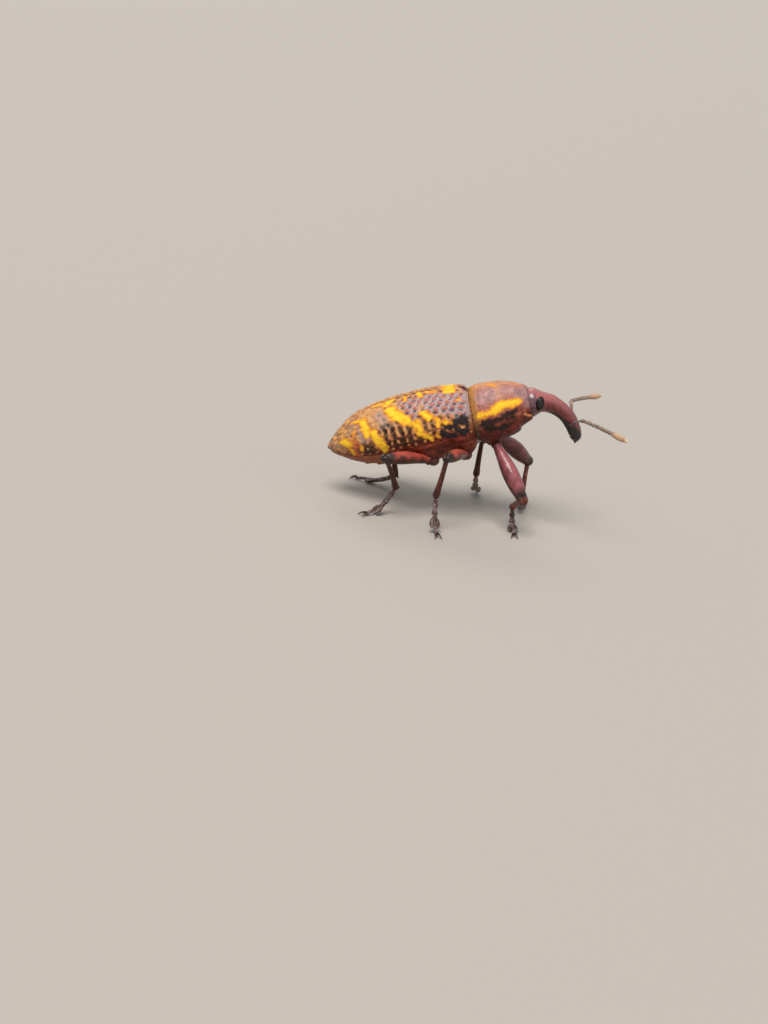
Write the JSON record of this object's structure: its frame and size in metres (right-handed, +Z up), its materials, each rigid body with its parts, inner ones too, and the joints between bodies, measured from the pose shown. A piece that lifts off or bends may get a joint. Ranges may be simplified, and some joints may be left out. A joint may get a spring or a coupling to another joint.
{
  "type": "weevil",
  "caption": "Life-size still model of a long-bodied snout weevil standing on its six feet, head raised and snout curved down.",
  "frame": {"origin": "on the floor under the middle of the bounding box", "axes": "+X towards the head, along the longest extent; +Y to the animal's left; +Z up"},
  "size_m": [0.0291, 0.0177, 0.0145],
  "materials": {
    "wing_case": "satin red-brown horn, pitted in rows, with patches of yellow powder",
    "belly": "satin dark red-brown horn",
    "fore_body": "satin red-brown horn, finely pitted, with yellow stripes",
    "head": "satin red-brown horn",
    "snout": "glossy purple-red horn, black below",
    "eye": "glossy black",
    "feeler": "dull brown with fine pale hairs",
    "thigh": "glossy red-purple horn with black knees",
    "shin": "satin dark brown horn",
    "foot": "dull dark brown with grey pads"
  },
  "bodies": {
    "root": {"elytron_right": "wing_case", "elytron_left": "wing_case", "abdomen": "belly", "metathorax": "belly", "prothorax": "fore_body", "head": "head", "rostrum": "snout", "eye_right": "eye", "eye_left": "eye", "antenna_right": "feeler", "antenna_left": "feeler", "femur_front_right": "thigh", "tibia_front_right": "shin", "tarsus_front_right": "foot", "femur_front_left": "thigh", "tibia_front_left": "shin", "tarsus_front_left": "foot", "femur_mid_right": "thigh", "tibia_mid_right": "shin", "tarsus_mid_right": "foot", "femur_mid_left": "thigh", "tibia_mid_left": "shin", "tarsus_mid_left": "foot", "femur_hind_right": "thigh", "tibia_hind_right": "shin", "tarsus_hind_right": "foot", "femur_hind_left": "thigh", "tibia_hind_left": "shin", "tarsus_hind_left": "foot"}
  },
  "joints": []
}
